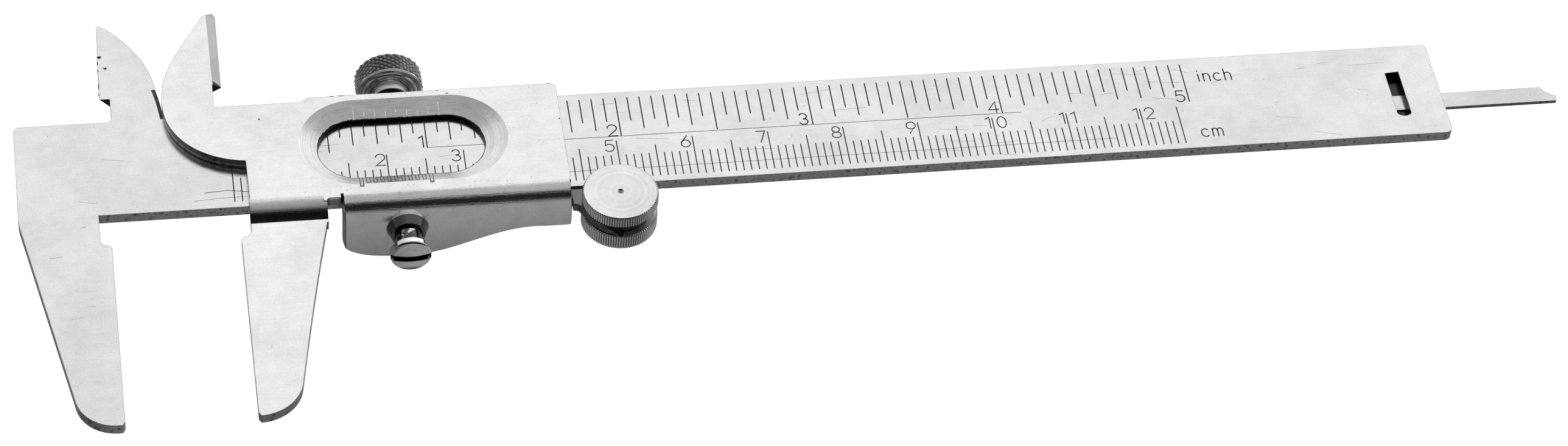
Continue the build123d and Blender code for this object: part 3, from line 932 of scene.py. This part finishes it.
knurl_diamonds = 26
knurl_rows = 8
knurl_crest = (lock_high.x - lock_low.x) / 2
knurl_root = knurl_crest - 0.21
knurl_top = lock_high.y
head_under = 19.6
hub_under = 17.84


def diamond_skin(bm, rows):
    """Triangles between rings whose corners are root and crest in turn, split along the diamonds' edges."""
    for i, (lower, upper) in enumerate(zip(rows, rows[1:])):
        for j in range(len(lower)):
            k = (j + 1) % len(lower)
            if (i + j) % 2 == 0:
                halves = ((lower[j], lower[k], upper[k]), (lower[j], upper[k], upper[j]))
            else:
                halves = ((lower[j], lower[k], upper[j]), (lower[k], upper[k], upper[j]))
            for half in halves:
                bm.faces.new(half).material_index = 1


def lock_knurl(bm):
    """The lock screw: shank, turned hub and rings under the head, and its diamond knurl."""
    place = about_y(lock_axis)
    steps = knurl_diamonds * 2
    shank_r = 0.99
    turned_part = (
        (shank_r, lock_low.y),
        (shank_r, hub_under),
        (2.5, hub_under),
        (2.6, hub_under + 0.1),
        (2.63, 18.9),
        (2.72, head_under - 0.4),
        (2.75, head_under - 0.16),
        (2.95, head_under - 0.14),
        (3.08, head_under - 0.24),
        (3.28, head_under - 0.3),
        (3.48, head_under - 0.24),
        (3.62, head_under - 0.1),
        (3.66, head_under + 0.02),
        (3.8, head_under + 0.02),
        (4.12, head_under),
        (4.3, head_under + 0.12),
        (knurl_crest - 0.12, head_under + 0.24),
    )
    rings = lathe(bm, turned_part, steps, place)
    for lower, upper in zip(rings, rings[1:]):
        skin(bm, lower, upper)
    fan(bm, rings[0], place(0, 0, lock_low.y))
    low = head_under + 0.24
    high = knurl_top - 0.2
    heights = [low + (high - low) * i / knurl_rows for i in range(knurl_rows + 1)]

    def diamond(i, j, radius):
        return knurl_root if (i + j) % 2 == 0 else knurl_crest

    knurl = lathe(bm, [(knurl_crest, h) for h in heights], steps, place, diamond)
    skin(bm, rings[-1], knurl[0])
    diamond_skin(bm, knurl)
    crown_part = ((knurl_crest - 0.25, knurl_top - 0.04), (3.6, knurl_top), (1.2, knurl_top))
    crown = lathe(bm, crown_part, steps, place)
    for lower, upper in zip([knurl[-1]] + crown, crown):
        skin(bm, lower, upper)
    fan(bm, crown[-1], place(0, 0, knurl_top - 0.25))


roller_teeth = 90
roller_crest = (roller_high.x - roller_low.x) / 2
roller_root = roller_crest - 0.17
roller_neck = 2.95
groove_top = 0.08
groove_low = -1.65


def roller_knurl(bm):
    """The thumb roller: two straight-knurled discs on a neck."""
    place = about_z(roller_axis)
    steps = roller_teeth * 2
    profile = (
        (0.5, roller_low.z),
        (roller_root - 0.05, roller_low.z),
        (roller_crest, roller_low.z + 0.12),
        (roller_crest, groove_low - 0.1),
        (roller_root - 0.05, groove_low),
        (roller_neck, groove_low),
        (roller_neck, groove_top),
        (roller_root - 0.05, groove_top),
        (roller_crest, groove_top + 0.1),
        (roller_crest, roller_high.z - 0.1),
        (roller_root - 0.03, roller_high.z),
        (0.42, roller_high.z),
        (0.3, roller_high.z - 0.12),
    )

    def tooth(i, j, radius):
        return roller_root if radius == roller_crest and j % 2 else radius

    rings = lathe(bm, profile, steps, place, tooth)
    for lower, upper, ends in zip(rings, rings[1:], zip(profile, profile[1:])):
        toothed = all(radius == roller_crest for radius, _ in ends)
        skin(bm, lower, upper, 1 if toothed else 0)
    fan(bm, rings[0], place(0, 0, roller_low.z + 0.2))
    fan(bm, rings[-1], place(0, 0, roller_high.z - 0.3))


def knurled_parts():
    """Replace the plain cylinders of the two turned parts by knurled ones, with painted shade on the lock
    screw's hub.
    """
    hub_reach = Vector((2.7, 0.8, 2.7))
    hub_middle = Vector((lock_axis.x, hub_under + 0.7, lock_axis.z))
    # Painted shade: the lock screw's hub, darker.
    hub = (hub_middle - hub_reach, hub_middle + hub_reach, 0.5)
    plain = turned("lock_steel", 0.95, lock_axis, along_y, 4.0, rough=0.18, dark=(hub,))
    # Painted shade: the knurl's valleys, dark.
    pit = (knurl_root, knurl_root + 0.11)
    diamonds = turned("lock_knurl_steel", 1.0, lock_axis, along_y, 1.0, rough=0.28, pit=pit)
    screw = mesh_piece("lock_screw_knurled", lock_knurl, (plain, diamonds), "lock")
    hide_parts("lock_screw")
    # Painted shade: the roller's centre dimple and the roots between its teeth, dark.
    bright = turned("roller_steel", 0.74, roller_axis, along_z, 2.6, rough=0.26, pit=(0.05, 0.3))
    pit = (roller_root, roller_crest - 0.06)
    teeth = turned("roller_teeth", 0.95, roller_axis, along_z, 1.0, pit=pit)
    wheel = mesh_piece("roller_knurled", roller_knurl, (bright, teeth), "roller")
    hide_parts("roller")


# =====================================================================
# Studio: floor, world and camera
# =====================================================================
def floor_paper():
    """Pale paper: a little diffuse gray for the shadow, and a glow that keeps it white."""
    mat = bpy.data.materials.new("floor_paper")
    mat.use_nodes = True
    g = Graph(mat.node_tree)
    coords = g.node("ShaderNodeTexCoord")
    paper_tone = g.span(g.noise(coords.outputs["Object"], 30.0, 3.0), 0.0, 1.0, 0.92, 0.96)
    paper_gray = 0.2
    paper = g.node("ShaderNodeBsdfDiffuse")
    g.put(paper.inputs[0], g.gray(g.math("MULTIPLY", paper_tone, paper_gray)))
    glow = g.node("ShaderNodeEmission")
    g.put(glow.inputs[0], g.gray(paper_tone))
    glow.inputs["Strength"].default_value = 1.05
    both = g.node("ShaderNodeAddShader")
    g.put(both.inputs[0], paper.outputs[0])
    g.put(both.inputs[1], glow.outputs[0])
    out = g.node("ShaderNodeOutputMaterial")
    g.put(out.inputs[0], both.outputs[0])
    return mat


def make_floor():
    """A large floor, a hair below the lowest point of the caliper, that doesn't show in its reflections."""
    gap = 0.2 * mm
    half_width = 20.0
    bm = bmesh.new()
    bmesh.ops.create_grid(bm, x_segments=1, y_segments=1, size=half_width)
    mesh = bpy.data.meshes.new("floor")
    bm.to_mesh(mesh)
    bm.free()
    mesh.materials.append(floor_paper())
    floor = bpy.data.objects.new("floor", mesh)
    floor.location = (0, 0, cad_bounds[0][2] - gap)
    floor.visible_glossy = False
    bpy.context.collection.objects.link(floor)


# Brightness of the light tent by the angle about the beam: 0 is behind it, 90 is above, 180 is in front.
tent = (
    (-180, 0.27),
    (-90, 0.27),
    (-20, 0.45),
    (0, 0.90),
    (15, 1.0),
    (55, 1.0),
    (60, 0.42),
    (102, 0.38),
    (106, 0.015),
    (147, 0.015),
    (151, 0.27),
    (180, 0.27),
)


def make_world():
    """A light tent: bright behind and above, a dark flag over the camera's side, gray below."""
    world = bpy.data.worlds.new("studio")
    bpy.context.scene.world = world
    world.use_nodes = True
    g = Graph(world.node_tree)
    coords = g.node("ShaderNodeTexCoord")
    split = g.apart(coords.outputs["Generated"])
    angle = g.math("ARCTAN2", split[2], split[1])
    turn = g.math("ADD", g.math("DIVIDE", angle, 2 * math.pi), 0.5)
    ramp = g.node("ShaderNodeValToRGB")
    band = ramp.color_ramp.elements
    for k, (degrees, level) in enumerate(tent):
        place = degrees / 360 + 0.5
        spot = band[k] if k < 2 else band.new(place)
        spot.position = place
        spot.color = (level, level, level, 1)
    g.put(ramp.inputs[0], turn)
    side = g.span(split[0], -0.75, 0.05, 0.5, 1.0)
    tinted = g.node("ShaderNodeVectorMath", operation="SCALE")
    g.put(tinted.inputs[0], ramp.outputs[0])
    g.put(tinted.inputs[3], side)
    sky = g.node("ShaderNodeBackground")
    g.put(sky.inputs[0], tinted.outputs[0])
    sky.inputs["Strength"].default_value = 1.16
    out = g.node("ShaderNodeOutputWorld")
    g.put(out.inputs[0], sky.outputs[0])


def make_camera():
    """A long lens, low over the front left, rolled a little so that the beam climbs to the right."""
    azimuth = math.radians(-12.87)
    elevation = math.radians(47.10)
    roll = math.radians(5.865)
    distance = 615.44
    aim = Vector((85.69, -8.73, 0.0))
    back = Vector((
        math.sin(azimuth) * math.cos(elevation),
        -math.cos(azimuth) * math.cos(elevation),
        math.sin(elevation),
    ))
    data = bpy.data.cameras.new("camera")
    data.lens = 109.7
    data.sensor_width = 36.0
    camera = bpy.data.objects.new("camera", data)
    camera.rotation_mode = "QUATERNION"
    camera.rotation_quaternion = (-back).to_track_quat("-Z", "Y") @ Quaternion((0, 0, 1), roll)
    camera.location = (aim + back * distance) * mm
    data.clip_start = 0.01
    data.clip_end = 100.0
    bpy.context.collection.objects.link(camera)
    bpy.context.scene.camera = camera


random.seed(11)
make_camera()
make_world()
make_floor()
finish_cad_nodes()
engrave()
knurled_parts()
bpy.context.scene.view_settings.view_transform = "Standard"
